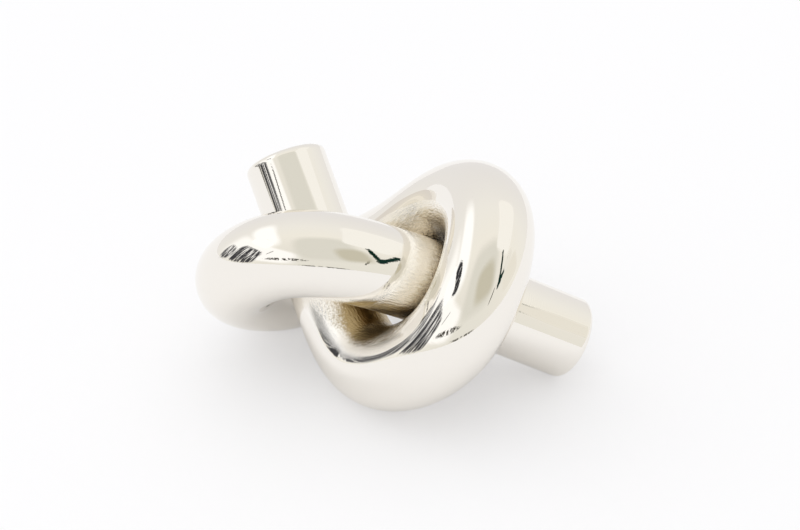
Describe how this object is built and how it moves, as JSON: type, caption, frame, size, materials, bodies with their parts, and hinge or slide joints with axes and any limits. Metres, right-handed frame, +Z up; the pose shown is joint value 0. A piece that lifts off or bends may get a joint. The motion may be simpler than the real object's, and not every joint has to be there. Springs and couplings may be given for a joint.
{
  "type": "metal knot sculpture",
  "caption": "Thick round metal rod tied in an open overhand knot, with two straight flat-ended stubs; a free-standing table ornament or paperweight.",
  "frame": {"origin": "on the table, under the middle of the knot's bounding box", "axes": "+X toward the front end's stub, along the knot's longest extent; +Y to the back, where the rear stub points up and back; +Z up, with z = 0 the table that the knot lies on"},
  "size_m": [0.1891, 0.1363, 0.1088],
  "materials": {
    "nickel_plate": "cast aluminium, nickel plated and mirror polished, faintly tarnished where the strands cross",
    "plated_weld": "aluminium weld ground flush and plated with the castings",
    "dowel_steel": "ground steel dowel, hidden inside the joint"
  },
  "bodies": {
    "root": {"rear_end": "nickel_plate", "right_loop": "nickel_plate", "back_strand": "nickel_plate", "left_loop": "nickel_plate", "front_end": "nickel_plate", "rear_weld": "plated_weld", "top_weld": "plated_weld", "back_weld": "plated_weld", "front_weld": "plated_weld", "rear_dowel": "dowel_steel", "top_dowel": "dowel_steel", "back_dowel": "dowel_steel", "front_dowel": "dowel_steel"}
  },
  "joints": []
}
